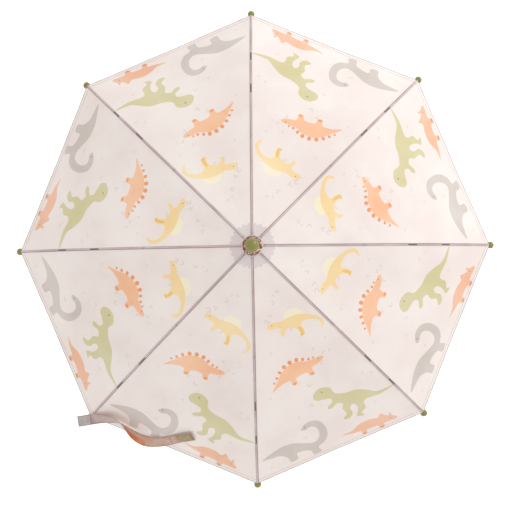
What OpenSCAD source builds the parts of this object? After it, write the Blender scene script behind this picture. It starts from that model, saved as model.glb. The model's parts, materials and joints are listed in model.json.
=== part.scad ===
// Children's stick umbrella, modelled open and upright. The shaft runs along Z,
// the origin is the middle of the handle's straight grip, and rib 1 points along +X.

/* [Canopy] */
// Length of the straight part of a rib, from the crown pivot to the stretcher joint
arm_l = 150; // [110:1:180]
// Length of the curved part of a rib, from the stretcher joint to its end
outer_l = 220; // [150:1:260]
// Slope of the straight part below the horizontal when open
open_slope = 14; // [8:1:24]
// Slope of the rib at its end when open
tip_slope = 44; // [30:1:55]
// Thickness of the canopy fabric
fabric_t = 0.4; // [0.3:0.1:1]
// Gap between the ribs' centre line and the fabric
fabric_gap = 2.7; // [2.5:0.1:4]

/* [Ribs and stretchers] */
// Width of the steel channel of ribs and stretchers
rod_w = 2.6; // [2.2:0.1:3.4]
// Height of that channel
rod_h = 2.6; // [2.2:0.1:3.4]
// Wall of that channel
rod_wall = 0.5; // [0.3:0.1:0.8]
// Radius of the round eyes at the ends of ribs and stretchers
eye_r = 2.2; // [1.9:0.1:2.4]
// Radius of the rivet in the stretcher joint
rivet_r = 0.8; // [0.6:0.1:1]
// Thickness of a fork cheek
cheek_t = 0.8; // [0.6:0.1:1.2]
// Radius of the ball on each rib's end
tip_ball_r = 5.3; // [4:0.1:7]

/* [Crown and runner] */
// Radius from the shaft's axis to the rib and stretcher pivots
pivot_r = 10.5; // [10.5:0.1:12]
// Outer radius of the notched collars
collar_r = 13; // [13:0.1:15]
// Height of the runner's notched collar
collar_h = 8; // [7:0.5:12]
// Length of the runner's sleeve below its collar
sleeve_l = 32; // [26:1:45]
// Wall of the runner's sleeve
sleeve_wall = 2.1; // [1.2:0.1:2.3]
// Radius of the wire ring that holds the ribs in the crown
wire_r = 0.5; // [0.4:0.05:0.6]

/* [Shaft] */
// Outer radius of the shaft tube
shaft_r = 4; // [3.6:0.1:4.2]
// Wall of the shaft tube
shaft_wall = 0.6; // [0.4:0.1:0.8]
// Height of the crown pivots above the middle of the grip
crown_z = 440; // [430:1:520]

/* [Handle and cap] */
// Radius of the handle
grip_r = 8.5; // [7.5:0.1:11]
// Length of the handle's straight grip
grip_l = 90; // [80:1:120]
// Radius of the crook, to the middle of its bar
crook_r = 32; // [26:1:42]
// Length of the straight end of the crook
crook_end_l = 16; // [6:1:30]
// Depth of the shaft's socket in the handle
socket_l = 72; // [40:1:76]
// Radius of the ball on top
cap_ball_r = 10; // [8:0.5:14]
// Length of the neck between the canopy and the ball
cap_neck_l = 13; // [10:1:24]

/* [Strap] */
// Width of the tie strap
strap_w = 16; // [10:1:20]
// Thickness of the tie strap
strap_t = 1; // [0.8:0.1:2]
// Width of the hook-and-loop pads on the strap
pad_w = 13; // [8:0.5:15]
// Length of the hook pad at the strap's free end
hook_pad_l = 17; // [12:0.5:18]
// Length of the loop pad at the strap's sewn end
loop_pad_l = 24; // [18:0.5:26]
// Thickness of a pad
pad_t = 1.1; // [0.8:0.1:2]

/* [Fit] */
// Radial running clearance of a pivot
run_gap = 0.06; // [0.04:0.01:0.1]
// Gap between a pad and the strap it is sewn on
pad_gap = 0.3; // [0.1:0.05:0.5]
// Side clearance between pieces that turn beside each other
side_gap = 0.2; // [0.15:0.05:0.4]
// Radial clearance of the runner on the shaft
slide_gap = 0.1; // [0.05:0.05:0.3]

/* [Hidden] */
$fn = 48;
RIBS = 8;
PITCH = 360 / RIBS;
HALF = PITCH / 2;
// Angle of a closed rib from the shaft, and how far a rib straightens as its canopy goes slack
CLOSED_ANGLE = 7;
UNBEND = 14;

// Curve of the ribs, as [radius, height]
joint_rz = [pivot_r + arm_l * cos(open_slope), crown_z - arm_l * sin(open_slope)];
bend_r = outer_l * 180 / PI / (tip_slope - open_slope);
bend_rz = joint_rz - bend_r * [sin(open_slope), cos(open_slope)];
rib_l = arm_l + outer_l;
function slope_at(t) = open_slope + max(0, t - arm_l) / bend_r * 180 / PI;
function rib_rz(t, off) = t < arm_l
    ? [pivot_r, crown_z] + t * [cos(open_slope), -sin(open_slope)] + off * [sin(open_slope), cos(open_slope)]
    : bend_rz + (bend_r + off) * [sin(slope_at(t)), cos(slope_at(t))];

// Runner heights: the arms and stretchers are equally long, so the linkage is an isosceles triangle
runner_open_z = crown_z - 2 * arm_l * sin(open_slope);
runner_closed_z = crown_z - 2 * arm_l * cos(CLOSED_ANGLE);
RUNNER_TRAVEL = runner_open_z - runner_closed_z;

// Notches in the crown and the runner
notch_w = rod_w + 3 * side_gap;
notch_r = pivot_r - eye_r - 2 * side_gap;
eye_bore_r = wire_r + 0.15;

// Fork widths at the stretcher joint, from the middle outwards
outer_fork_in = rod_w / 2 + side_gap;
outer_fork_out = outer_fork_in + cheek_t;
stretcher_fork_in = outer_fork_out + side_gap;
stretcher_fork_out = stretcher_fork_in + cheek_t;
rivet_l = 2 * (stretcher_fork_out + 0.4);
rivet_head_r = rivet_r + 0.6;
fork_l = 10;
bridge_l = 5;

// Canopy panels
PANEL_STEPS = 16;
PANEL_SIDE_STEPS = 2;
panel_gap = 0.25;
panel_start = (shaft_r + 1.2 - pivot_r) / cos(open_slope);
panel_end = rib_l - 3;
HEM_R = rib_rz(panel_end, fabric_gap)[0];

// Runner
sleeve_r = shaft_r + slide_gap + sleeve_wall;
flange_r = notch_r - 0.1;
flange_h = 4;
runner_low = -collar_h / 2 - sleeve_l - flange_h;

// Catches: flat springs inside the shaft, with a nose that stands out of a slot
catch_angle = HALF;
catch_w = 2;
catch_t = 0.6;
catch_l = 36;
catch_curl_r = 1.1;
catch_pin_r = 0.6;
catch_x = 1.1;
nose_l = 7;
nose_out = 2.6;
window_l = nose_l + 2;
window_z = -collar_h / 2 - sleeve_l / 2;
top_nose_z = runner_open_z + runner_low - 0.3;
bottom_nose_z = runner_closed_z + window_z - nose_l / 2;
stop_z = runner_open_z + collar_h / 2 + 1.2;

// Cap, rosette and handle
rosette_r = 15.5;
rosette_t = 0.7;
rosette_gap = 0.3;
function skin_z(r, off) = crown_z + off / cos(open_slope) + (pivot_r - r) * tan(open_slope);
rosette_off = fabric_gap + fabric_t + rosette_gap;
rosette_in = shaft_r + 0.05;
cap_z = skin_z(rosette_in, rosette_off) + rosette_t + 0.05;
cap_ball_z = cap_z + cap_neck_l + cap_ball_r * 0.7;
shaft_top = cap_ball_z;
shaft_low = grip_l / 2 - socket_l;
ferrule_h = 9;
ferrule_wall = 1.3;
pin_head = 0.6;
handle_pin_z = grip_l / 2 - 14;

// Route of the strap past the end of the rib it lies beside: [x, y from that end of the hem, height above
// the canopy, roll]
STRAP_ROUTE = [
    [152.6, -28.4, 1, 0], [139.6, -30.4, 1.05, 0], [126.6, -33.4, 1.2, 0], [110.6, -37.4, 3.6, 0],
    [94.6, -38.4, 8, 6], [78.6, -35.4, 11.5, 20], [65.6, -28.4, 13, 44], [55.6, -19.4, 13, 70],
    [46.6, -10.4, 12, 96], [36.6, -4.4, 10.8, 122], [25.6, -2.4, 9.6, 146], [13.6, -2.4, 8.8, 166],
    [1.6, -3.9, 8.2, 180], [-8.4, -5.4, 8, 180], [-18.4, -6.9, 7.8, 180]
];
// Angle of that rib from rib 1
STRAP_ANGLE = 5 * PITCH;
// Knots of the route over which the strap leaves the canopy's slope and turns level
STRAP_LIES = 2;
STRAP_LEVEL = 7;

rib_names = [for (i = [1:RIBS]) str("rib_inner_", i)];
outer_names = [for (i = [1:RIBS]) str("rib_outer_", i)];
stretcher_names = [for (i = [1:RIBS]) str("stretcher_", i)];
tip_names = [for (i = [1:RIBS]) str("rib_tip_", i)];
panel_names = [for (i = [1:RIBS]) str("canopy_panel_", i)];

// Colours
OLIVE = "#7d8a3c";
STEEL = "#c9c9cc";
FABRIC = "#eee0dc";
MAUVE = "#8f6f72";

// ---------- shared shapes ----------

module at_rib(i) {
    rotate([0, 0, (i - 1) * PITCH]) children();
}

// Channel section, open at the top: x is its width, y its height
module channel_section() {
    polygon([
        [-rod_w / 2, -rod_h / 2], [rod_w / 2, -rod_h / 2], [rod_w / 2, rod_h / 2],
        [rod_w / 2 - rod_wall, rod_h / 2], [rod_w / 2 - rod_wall, -rod_h / 2 + rod_wall],
        [-rod_w / 2 + rod_wall, -rod_h / 2 + rod_wall], [-rod_w / 2 + rod_wall, rod_h / 2],
        [-rod_w / 2, rod_h / 2]
    ]);
}

// Straight channel along +X, from x = from to x = to
module channel_bar(from, to) {
    translate([from, 0, 0]) rotate([90, 0, 90]) linear_extrude(height = to - from) channel_section();
}

// Round piece across a rib, along Y
module cross_pin(r, from, to) {
    translate([0, to, 0]) rotate([90, 0, 0]) cylinder(r = r, h = to - from);
}

// Two cheeks of a fork at the origin, joined by a bridge, running along +X
module fork(in_w, out_w, length, bore) {
    difference() {
        union() {
            for (side = [-1, 1]) {
                cross_pin(eye_r, min(side * in_w, side * out_w), max(side * in_w, side * out_w));
                translate([0, side > 0 ? in_w : -out_w, -rod_h / 2]) cube([length, out_w - in_w, rod_h]);
            }
            translate([length - bridge_l, -out_w, -rod_h / 2]) cube([bridge_l, 2 * out_w, rod_h]);
        }
        cross_pin(bore, -out_w - 1, out_w + 1);
    }
}

// Eight notches, open at both ends and outwards
module notches(low, high) {
    for (i = [1:RIBS]) {
        at_rib(i) translate([notch_r, -notch_w / 2, low]) cube([collar_r, notch_w, high - low]);
    }
}

// ---------- shaft, handle and cap ----------

module shaft() {
    color(STEEL) difference() {
        translate([0, 0, shaft_low]) cylinder(r = shaft_r, h = shaft_top - shaft_low);
        translate([0, 0, shaft_low - 1]) cylinder(r = shaft_r - shaft_wall, h = shaft_top - shaft_low + 2);
        rotate([0, 0, catch_angle]) {
            translate([0, -catch_w / 2 - side_gap, top_nose_z - nose_l - 0.8])
                cube([shaft_r + 1, catch_w + 2 * side_gap, nose_l + 1.6]);
            translate([0, -catch_w / 2 - side_gap, bottom_nose_z - 0.8])
                cube([shaft_r + 1, catch_w + 2 * side_gap, nose_l + 1.6]);
            translate([catch_x, 0, top_root_z()]) cross_pin(catch_pin_r, -shaft_r - 1, shaft_r + 1);
            translate([catch_x, 0, bottom_root_z()]) cross_pin(catch_pin_r, -shaft_r - 1, shaft_r + 1);
        }
        translate([0, 0, stop_z]) cross_pin(1, -shaft_r - 1, shaft_r + 1);
        translate([0, 0, handle_pin_z]) cross_pin(1, -shaft_r - 1, shaft_r + 1);
    }
}

module handle() {
    color(OLIVE) difference() {
        union() {
            translate([0, 0, -grip_l / 2]) cylinder(r = grip_r, h = grip_l);
            translate([0, 0, -grip_l / 2]) crook();
        }
        translate([0, 0, shaft_low]) cylinder(r = shaft_r, h = socket_l + 1);
        translate([0, 0, handle_pin_z]) cross_pin(1, -grip_r - 1, grip_r + 1);
        for (side = [-1, 1]) {
            translate([0, 0, handle_pin_z]) cross_pin(2, min(side * (grip_r - 1), side * (grip_r + 1)),
                max(side * (grip_r - 1), side * (grip_r + 1)));
        }
    }
}

// Half turn of the handle towards +X, with a straight end and a round nose
module crook() {
    translate([crook_r, 0, 0]) rotate([90, 0, 0]) rotate([0, 0, 180])
        rotate_extrude(angle = 180) translate([crook_r, 0]) circle(r = grip_r);
    translate([2 * crook_r, 0, 0]) {
        cylinder(r = grip_r, h = crook_end_l);
        translate([0, 0, crook_end_l]) sphere(r = grip_r);
    }
}

module handle_ferrule() {
    color(STEEL) translate([0, 0, grip_l / 2]) rotate_extrude() polygon([
        [shaft_r, 0], [grip_r - 0.4, 0], [grip_r - 0.4, ferrule_h - 3],
        [shaft_r + ferrule_wall, ferrule_h], [shaft_r, ferrule_h]
    ]);
}

module handle_pin() {
    color(STEEL) translate([0, 0, handle_pin_z]) {
        cross_pin(1, -grip_r + 1, grip_r - 1);
        cross_pin(2, grip_r - 1, grip_r - 1 + pin_head);
        cross_pin(2, -grip_r + 1 - pin_head, -grip_r + 1);
    }
}

module top_cap() {
    color(OLIVE) difference() {
        union() {
            translate([0, 0, cap_ball_z]) sphere(r = cap_ball_r);
            translate([0, 0, cap_z]) rotate_extrude() polygon([
                [0, 0], [shaft_r + 3, 0], [shaft_r + 3, 2], [shaft_r + 1.8, 4],
                [shaft_r + 1.6, cap_neck_l], [shaft_r + 1.6, cap_neck_l + 3], [0, cap_neck_l + 3]
            ]);
        }
        translate([0, 0, cap_z - 1]) cylinder(r = shaft_r, h = shaft_top - cap_z + 1);
    }
}

module rosette() {
    color(FABRIC) rotate_extrude() polygon([
        [rosette_in, skin_z(rosette_in, rosette_off)], [rosette_r, skin_z(rosette_r, rosette_off)],
        [rosette_r, skin_z(rosette_r, rosette_off) + rosette_t],
        [rosette_in, skin_z(rosette_in, rosette_off) + rosette_t]
    ]);
}

module crown() {
    edge_z = skin_z(collar_r / cos(HALF), fabric_gap) - crown_z - 0.7;
    hub_z = skin_z(shaft_r, fabric_gap) - crown_z - 0.9;
    color("white") translate([0, 0, crown_z]) difference() {
        rotate_extrude() polygon([
            [shaft_r, -8], [notch_r, -8], [notch_r, -5], [collar_r, -5], [collar_r, edge_z],
            [shaft_r, hub_z]
        ]);
        notches(-6, 6);
        rotate_extrude() translate([pivot_r, 0]) circle(r = wire_r + 0.05);
    }
}

module crown_wire() {
    color(STEEL) translate([0, 0, crown_z]) rotate_extrude() translate([pivot_r, 0]) circle(r = wire_r);
}

// ---------- stop, catches and runner ----------

module stop_pin() {
    color(STEEL) translate([0, 0, stop_z]) cross_pin(1, -shaft_r - 2, shaft_r + 2);
}

function top_root_z() = top_nose_z - nose_l - catch_l;
function bottom_root_z() = bottom_nose_z + nose_l + catch_l;

module catch_pins() {
    color(STEEL) rotate([0, 0, catch_angle]) {
        translate([catch_x, 0, top_root_z()]) cross_pin(catch_pin_r, -shaft_r + 0.2, shaft_r - 0.2);
        translate([catch_x, 0, bottom_root_z()]) cross_pin(catch_pin_r, -shaft_r + 0.2, shaft_r - 0.2);
    }
}

// Flat spring standing on its pin: a curl, a leaf upwards and a nose with its shoulder on top
module catch_spring() {
    difference() {
        union() {
            cross_pin(catch_curl_r, -catch_w / 2, catch_w / 2);
            translate([0, -catch_w / 2, 0]) cube([catch_t, catch_w, catch_l + nose_l]);
            translate([0, catch_w / 2, 0]) rotate([90, 0, 0]) linear_extrude(height = catch_w) polygon([
                [0, catch_l], [catch_t, catch_l], [shaft_r + nose_out - catch_x, catch_l + nose_l - 1.5],
                [shaft_r + nose_out - catch_x, catch_l + nose_l], [0, catch_l + nose_l]
            ]);
        }
        cross_pin(catch_pin_r + run_gap, -catch_w, catch_w);
    }
}

module top_catch() {
    color(STEEL) rotate([0, 0, catch_angle]) translate([catch_x, 0, top_root_z()]) catch_spring();
}

module bottom_catch() {
    color(STEEL) rotate([0, 0, catch_angle]) translate([catch_x, 0, bottom_root_z()])
        mirror([0, 0, 1]) catch_spring();
}

module runner() {
    half = collar_h / 2;
    color("white") translate([0, 0, runner_open_z]) difference() {
        rotate_extrude() polygon([
            [shaft_r + slide_gap, runner_low], [flange_r, runner_low], [flange_r, runner_low + flange_h],
            [sleeve_r, runner_low + flange_h + 2], [sleeve_r, -half - 2], [notch_r, -half],
            [collar_r, -half], [collar_r, half], [shaft_r + slide_gap, half]
        ]);
        notches(-half - 1, half + 1);
        rotate([0, 0, catch_angle])
            translate([0, -catch_w / 2 - 0.7, window_z - window_l / 2])
                cube([collar_r, catch_w + 1.4, window_l]);
    }
}

// ---------- ribs, stretchers and tips, each drawn for the rib along +X ----------

module rib_inner_shape() {
    translate([pivot_r, 0, crown_z]) rotate([0, open_slope, 0]) difference() {
        union() {
            channel_bar(0, arm_l);
            cross_pin(eye_r, -rod_w / 2, rod_w / 2);
            translate([arm_l, 0, 0]) {
                cross_pin(eye_r, -rod_w / 2, rod_w / 2);
                cross_pin(rivet_r, -rivet_l / 2, rivet_l / 2);
                cross_pin(rivet_head_r, rivet_l / 2 - 0.3, rivet_l / 2 + 0.2);
                cross_pin(rivet_head_r, -rivet_l / 2 - 0.2, -rivet_l / 2 + 0.3);
            }
        }
        cross_pin(eye_bore_r, -rod_w, rod_w);
    }
}

module rib_outer_shape() {
    start_slope = slope_at(arm_l + fork_l - bridge_l);
    translate([joint_rz[0], 0, joint_rz[1]]) rotate([0, open_slope, 0])
        fork(outer_fork_in, outer_fork_out, fork_l, rivet_r + run_gap);
    translate([bend_rz[0], 0, bend_rz[1]]) rotate([90, 0, 0]) rotate([0, 0, 90 - tip_slope])
        rotate_extrude(angle = tip_slope - start_slope, $fn = 256)
            translate([bend_r, 0]) rotate(-90) channel_section();
}

module stretcher_shape() {
    translate([joint_rz[0], 0, joint_rz[1]]) rotate([0, 180 - open_slope, 0]) mirror([0, 0, 1]) {
        fork(stretcher_fork_in, stretcher_fork_out, fork_l + 3, rivet_r + run_gap);
        difference() {
            union() {
                channel_bar(fork_l + 3 - bridge_l, arm_l);
                translate([arm_l, 0, 0]) cross_pin(eye_r, -rod_w / 2, rod_w / 2);
            }
            translate([arm_l, 0, 0]) cross_pin(eye_bore_r, -rod_w, rod_w);
        }
    }
}

// Ball with a socket sleeve around the rib's end
module rib_tip_shape() {
    sleeve_out = 2.3;
    end = rib_rz(rib_l, 0);
    translate([end[0], 0, end[1]]) rotate([0, 90 + tip_slope, 0]) difference() {
        union() {
            translate([0, 0, 3]) sphere(r = tip_ball_r);
            translate([0, 0, -3]) cylinder(r = sleeve_out, h = 5);
        }
        translate([-rod_h / 2 - 0.05, -rod_w / 2 - 0.05, -4]) cube([rod_h + 0.1, rod_w + 0.1, 4]);
    }
}

// ---------- canopy ----------

// Point of a panel at length t along the rib, share u from the rib to the middle of a gore
function panel_point(t, u, off) =
    let (rz = rib_rz(t, off), half_chord = rz[0] * sin(HALF) - panel_gap, side = u < 0 ? -1 : 1)
    [rz[0] - sin(HALF) * half_chord * abs(u), side * cos(HALF) * half_chord * abs(u), rz[1]];

module canopy_panel_shape() {
    across = 2 * PANEL_SIDE_STEPS;
    row = across + 1;
    layer = row * (PANEL_STEPS + 1);
    points = [for (off = [fabric_gap, fabric_gap + fabric_t], j = [0:PANEL_STEPS], k = [0:across])
        panel_point(panel_start + (panel_end - panel_start) * j / PANEL_STEPS, k / PANEL_SIDE_STEPS - 1, off)];
    skins = [for (j = [0:PANEL_STEPS - 1], k = [0:across - 1])
        let (a = j * row + k, b = a + 1, c = a + row, d = c + 1)
        each [[a, c, d], [a, d, b], [layer + a, layer + d, layer + c], [layer + a, layer + b, layer + d]]];
    ends = [for (k = [0:across - 1])
        let (a = k, b = k + 1, c = PANEL_STEPS * row + k, d = c + 1)
        each [[a, b, layer + b], [a, layer + b, layer + a], [c, layer + d, d], [c, layer + c, layer + d]]];
    sides = [for (j = [0:PANEL_STEPS - 1])
        let (a = j * row, b = a + row, c = a + across, d = c + row)
        each [[a, layer + b, b], [a, layer + a, layer + b], [c, d, layer + d], [c, layer + d, layer + c]]];
    polyhedron(points, concat(skins, ends, sides));
}

// ---------- strap ----------

// Height of the canopy's upper face over a point of the plan, held level outside the hem
function canopy_z(x, y) =
    let (a = atan2(y, x), near = round(a / PITCH) * PITCH, d = norm([x, y]),
         r = min(HEM_R, d * (cos(a - near) + abs(sin(a - near)) * tan(HALF))),
         off = fabric_gap + fabric_t)
    r < joint_rz[0] ? skin_z(r, off) : bend_rz[1] + sqrt(pow(bend_r + off, 2) - pow(r - bend_rz[0], 2));

// Direction that the canopy's upper face looks in over a point of the plan, level outside the hem
function canopy_up(p) =
    let (up = [canopy_z(p[0] - 1, p[1]) - canopy_z(p[0] + 1, p[1]), canopy_z(p[0], p[1] - 1) - canopy_z(p[0], p[1] + 1), 2])
    up / norm(up);

function strap_plan(n) = HEM_R * [cos(STRAP_ANGLE), sin(STRAP_ANGLE)] + [STRAP_ROUTE[n][0], STRAP_ROUTE[n][1]];

function strap_middle(n) =
    let (p = strap_plan(n)) [p[0], p[1], canopy_z(p[0], p[1]) + STRAP_ROUTE[n][2]];

function strap_way(n) =
    let (last = len(STRAP_ROUTE) - 1, way = strap_middle(min(n + 1, last)) - strap_middle(max(n - 1, 0)))
    way / norm(way);

// Across and up directions of the strap at a point of its route
function strap_frame(n) =
    let (way = strap_way(n), free = max(0, min(1, (n - STRAP_LIES) / (STRAP_LEVEL - STRAP_LIES))),
         flat = cross(canopy_up(strap_plan(n)) * (1 - free) + [0, 0, free], way), side = flat / norm(flat),
         up = cross(way, side), roll = STRAP_ROUTE[n][3])
    [side * cos(roll) + up * sin(roll), up * cos(roll) - side * sin(roll)];

module tie_strap() {
    last = len(STRAP_ROUTE) - 1;
    points = [for (n = [0:last])
        let (m = strap_middle(n), f = strap_frame(n), w = f[0] * strap_w / 2, t = f[1] * strap_t / 2)
        each [m - w - t, m + w - t, m + w + t, m - w + t]];
    walls = [for (n = [0:last - 1], k = [0:3])
        let (a = 4 * n + k, b = 4 * n + (k + 1) % 4)
        each k == 2 ? [[a, a + 4, b], [b, a + 4, b + 4]] : [[a, a + 4, b + 4], [a, b + 4, b]]];
    color(FABRIC) polyhedron(points, concat([[0, 1, 2], [0, 2, 3]],
        [[4 * last, 4 * last + 2, 4 * last + 1], [4 * last, 4 * last + 3, 4 * last + 2]], walls));
}

// Hook-and-loop pad on the strap's face at a point of its route, on the side given
module strap_pad(n, side, l) {
    m = strap_middle(n);
    f = strap_frame(n);
    way = strap_way(n);
    base = m + f[1] * side * (strap_t / 2 + pad_gap + pad_t / 2);
    color(FABRIC) multmatrix([
        [way[0], f[0][0], f[1][0], base[0]],
        [way[1], f[0][1], f[1][1], base[1]],
        [way[2], f[0][2], f[1][2], base[2]],
        [0, 0, 0, 1]
    ]) cube([l, pad_w, pad_t], center = true);
}

module strap_hook_pad() {
    strap_pad(len(STRAP_ROUTE) - 2, -1, hook_pad_l);
}

module strap_loop_pad() {
    strap_pad(1, 1, loop_pad_l);
}

// ---------- nodes ----------

shaft();
handle();
handle_ferrule();
handle_pin();
top_cap();
rosette();
crown();
crown_wire();
stop_pin();
catch_pins();
top_catch();
bottom_catch();
runner();
tie_strap();
strap_hook_pad();
strap_loop_pad();
for (i = [1:RIBS]) {
    color(STEEL) at_rib(i) rib_inner_shape();
    color(STEEL) at_rib(i) rib_outer_shape();
    color(STEEL) at_rib(i) stretcher_shape();
    color(OLIVE) at_rib(i) rib_tip_shape();
    color(FABRIC) at_rib(i) canopy_panel_shape();
}
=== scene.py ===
"""Children's stick umbrella: fabric, seams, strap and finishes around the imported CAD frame."""

from __future__ import annotations

import json
import logging
import math
import random
from dataclasses import dataclass, field
from enum import Enum

import bmesh
import bpy
from mathutils import Matrix, Vector
from mathutils.geometry import delaunay_2d_cdt

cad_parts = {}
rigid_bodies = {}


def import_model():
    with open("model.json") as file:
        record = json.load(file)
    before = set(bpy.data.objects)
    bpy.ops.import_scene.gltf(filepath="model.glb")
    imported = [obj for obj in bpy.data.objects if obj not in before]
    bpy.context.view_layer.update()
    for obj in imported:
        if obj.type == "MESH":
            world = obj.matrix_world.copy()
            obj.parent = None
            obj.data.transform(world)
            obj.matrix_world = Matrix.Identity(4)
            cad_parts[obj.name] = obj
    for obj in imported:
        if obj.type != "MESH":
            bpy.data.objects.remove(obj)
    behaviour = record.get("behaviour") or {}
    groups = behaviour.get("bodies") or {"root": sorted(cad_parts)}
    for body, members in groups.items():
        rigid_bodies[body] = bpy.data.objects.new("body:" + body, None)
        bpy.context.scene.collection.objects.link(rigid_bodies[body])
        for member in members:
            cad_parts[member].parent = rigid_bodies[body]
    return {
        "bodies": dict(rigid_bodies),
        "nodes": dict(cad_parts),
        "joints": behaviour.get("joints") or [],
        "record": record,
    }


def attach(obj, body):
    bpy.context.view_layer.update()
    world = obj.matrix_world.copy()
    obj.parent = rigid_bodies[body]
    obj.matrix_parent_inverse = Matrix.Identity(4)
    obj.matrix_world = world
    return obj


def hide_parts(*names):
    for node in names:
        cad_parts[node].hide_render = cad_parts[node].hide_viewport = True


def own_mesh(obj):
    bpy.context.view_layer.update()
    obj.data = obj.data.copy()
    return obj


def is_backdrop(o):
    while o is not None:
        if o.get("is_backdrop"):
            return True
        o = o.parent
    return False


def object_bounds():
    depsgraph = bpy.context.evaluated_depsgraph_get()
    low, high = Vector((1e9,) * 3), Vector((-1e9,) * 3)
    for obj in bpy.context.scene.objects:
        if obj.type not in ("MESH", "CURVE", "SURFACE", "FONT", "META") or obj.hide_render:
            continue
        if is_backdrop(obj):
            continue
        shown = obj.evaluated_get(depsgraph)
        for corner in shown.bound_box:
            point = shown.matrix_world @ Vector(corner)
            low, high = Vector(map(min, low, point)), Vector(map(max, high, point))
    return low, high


LOG = logging.getLogger("umbrella")
MM = 0.001
RIBS = 8
PITCH = math.tau / RIBS
HALF = PITCH / 2
BOX = ((-1, -1), (1, -1), (1, 1), (-1, 1))  # corners of a square section, in turn

Mesh = tuple[list[Vector], list[tuple]]
Drawing = list[tuple[int, list[Vector]]]
Socket = bpy.types.NodeSocket


def linear(code: str) -> tuple[float, float, float, float]:
    """Turn an sRGB hex value into a linear colour.

    Args:
        code: Colour as "#rrggbb".

    Returns:
        Linear red, green, blue and an alpha of 1.
    """
    parts = [int(code[n : n + 2], 16) / 255 for n in (1, 3, 5)]
    red, green, blue = (p / 12.92 if p <= 0.04045 else ((p + 0.055) / 1.055) ** 2.4 for p in parts)
    return red, green, blue, 1.0


def circle(count: int) -> list[float]:
    """Angles of points spread evenly round a circle."""
    return [math.tau * k / count for k in range(count)]


# ---------------------------------------------------------------- finishes


class Recipe:
    """Node tree of one material, built a node at a time."""

    def __init__(self, name: str) -> None:
        """Start an empty material, with its nodes placed by the object's own measures."""
        self.material = bpy.data.materials.new(name)
        self.material.use_nodes = True
        self.tree = self.material.node_tree
        self.tree.nodes.clear()
        self.place = self.add("TexCoord").outputs["Object"]

    def add(self, kind: str, inputs: dict | None = None, **settings: object) -> bpy.types.Node:
        """Add a shader node.

        Args:
            kind: Type of the node, without its first word.
            inputs: Plain values, or output sockets that get linked, by the input's name or number.
            settings: Properties of the node itself.

        Returns:
            The node.
        """
        node = self.tree.nodes.new(f"ShaderNode{kind}")
        for name, value in settings.items():
            setattr(node, name, value)
        for name, value in (inputs or {}).items():
            socket = node.inputs[name]
            if isinstance(value, Socket):
                self.tree.links.new(value, socket)
            else:
                socket.default_value = value
        return node

    def noise(self, scale: float, detail: float, rough: float = 0.5, place: Socket | None = None) -> Socket:
        """Add cloudy noise."""
        inputs = {"Vector": place or self.place, "Scale": scale, "Detail": detail, "Roughness": rough}
        return self.add("TexNoise", inputs).outputs[0]

    def spread(self, value: object, given: tuple, wanted: tuple = (0.0, 1.0)) -> Socket:
        """Map a value from one range to another."""
        (low, high), (first, last) = given, wanted
        inputs = {"Value": value, "From Min": low, "From Max": high, "To Min": first, "To Max": last}
        return self.add("MapRange", inputs).outputs[0]

    def blend(self, factor: object, first: str, second: str) -> Socket:
        """Mix two hex colours."""
        inputs = {"Factor": factor, 6: linear(first), 7: linear(second)}
        return self.add("Mix", inputs, data_type="RGBA").outputs[2]

    def bump(self, height: object, strength: float, distance: float) -> Socket:
        """Add a bump of a real depth, in metres."""
        return self.add("Bump", {"Height": height, "Strength": strength, "Distance": distance}).outputs[0]

    def close(self, colour: object, rough: object, normal: object, **more: float) -> bpy.types.Material:
        """Add the shader and the output.

        Args:
            colour: Base colour, as a socket.
            rough: Roughness, as a value or a socket.
            normal: Normal, as a socket.
            more: Values of the shader's other inputs, with _ for a space.

        Returns:
            The finished material.
        """
        inputs = {"Base Color": colour, "Roughness": rough, "Normal": normal}
        inputs.update({name.replace("_", " "): value for name, value in more.items()})
        shader = self.add("BsdfPrincipled", inputs)
        self.add("OutputMaterial", {"Surface": shader.outputs[0]})
        return self.material


@dataclass(frozen=True)
class PrintedPolyester:
    """Plain-weave polyester pongee, dyed or printed: matt, with a faint silky sheen.

    The real thread is 0.1 mm, which can't show, so the weave is drawn at weave_mm.
    """

    name: str
    ink: str = "#f0e4e1"
    wash: str = "#e9dad6"
    wash_mm: float = 60.0
    weave_mm: float = 1.1
    weave_depth: float = 0.05
    roughness: float = 0.82

    def make(self) -> bpy.types.Material:
        """Build the material: a watercolour wash over a fine square weave."""
        recipe = Recipe(self.name)
        wash = recipe.spread(recipe.noise(1000 / self.wash_mm, 4.0, 0.55), (0.36, 0.64))
        scale = math.tau / 20 / (self.weave_mm * MM)
        waves = {"Vector": recipe.place, "Scale": scale, "Distortion": 0.6, "Detail": 1.0}
        warp, weft = (
            recipe.add("TexWave", waves, wave_type="BANDS", bands_direction=way).outputs["Fac"]
            for way in ("X", "Y")
        )
        weave = recipe.add("Math", {0: warp, 1: weft}, operation="MULTIPLY").outputs[0]
        sheen = {"IOR": 1.5, "Sheen_Weight": 0.12, "Sheen_Roughness": 0.4}
        colour = recipe.blend(wash, self.ink, self.wash)
        return recipe.close(colour, self.roughness, recipe.bump(weave, self.weave_depth, 0.0004), **sheen)


@dataclass(frozen=True)
class MouldedPlastic:
    """Injection-moulded ABS: a smooth skin with a soft clear highlight and faint flow marks."""

    name: str
    colour: str = "#7f8a3e"
    deep: str = "#6d7733"
    roughness: float = 0.28
    grain_mm: float = 1.6

    def make(self) -> bpy.types.Material:
        """Build the material: colour drift, moulding ripple and slight handling wear."""
        recipe = Recipe(self.name)
        colour = recipe.blend(recipe.noise(45.0, 3.0), self.colour, self.deep)
        wear = (self.roughness - 0.06, self.roughness + 0.1)
        rough = recipe.spread(recipe.noise(160.0, 6.0), (0.3, 0.7), wear)
        ripple = recipe.bump(recipe.noise(1000 / self.grain_mm, 2.0), 0.06, 0.0003)
        return recipe.close(colour, rough, ripple, IOR=1.53, Coat_Weight=0.25, Coat_Roughness=0.12)


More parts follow.
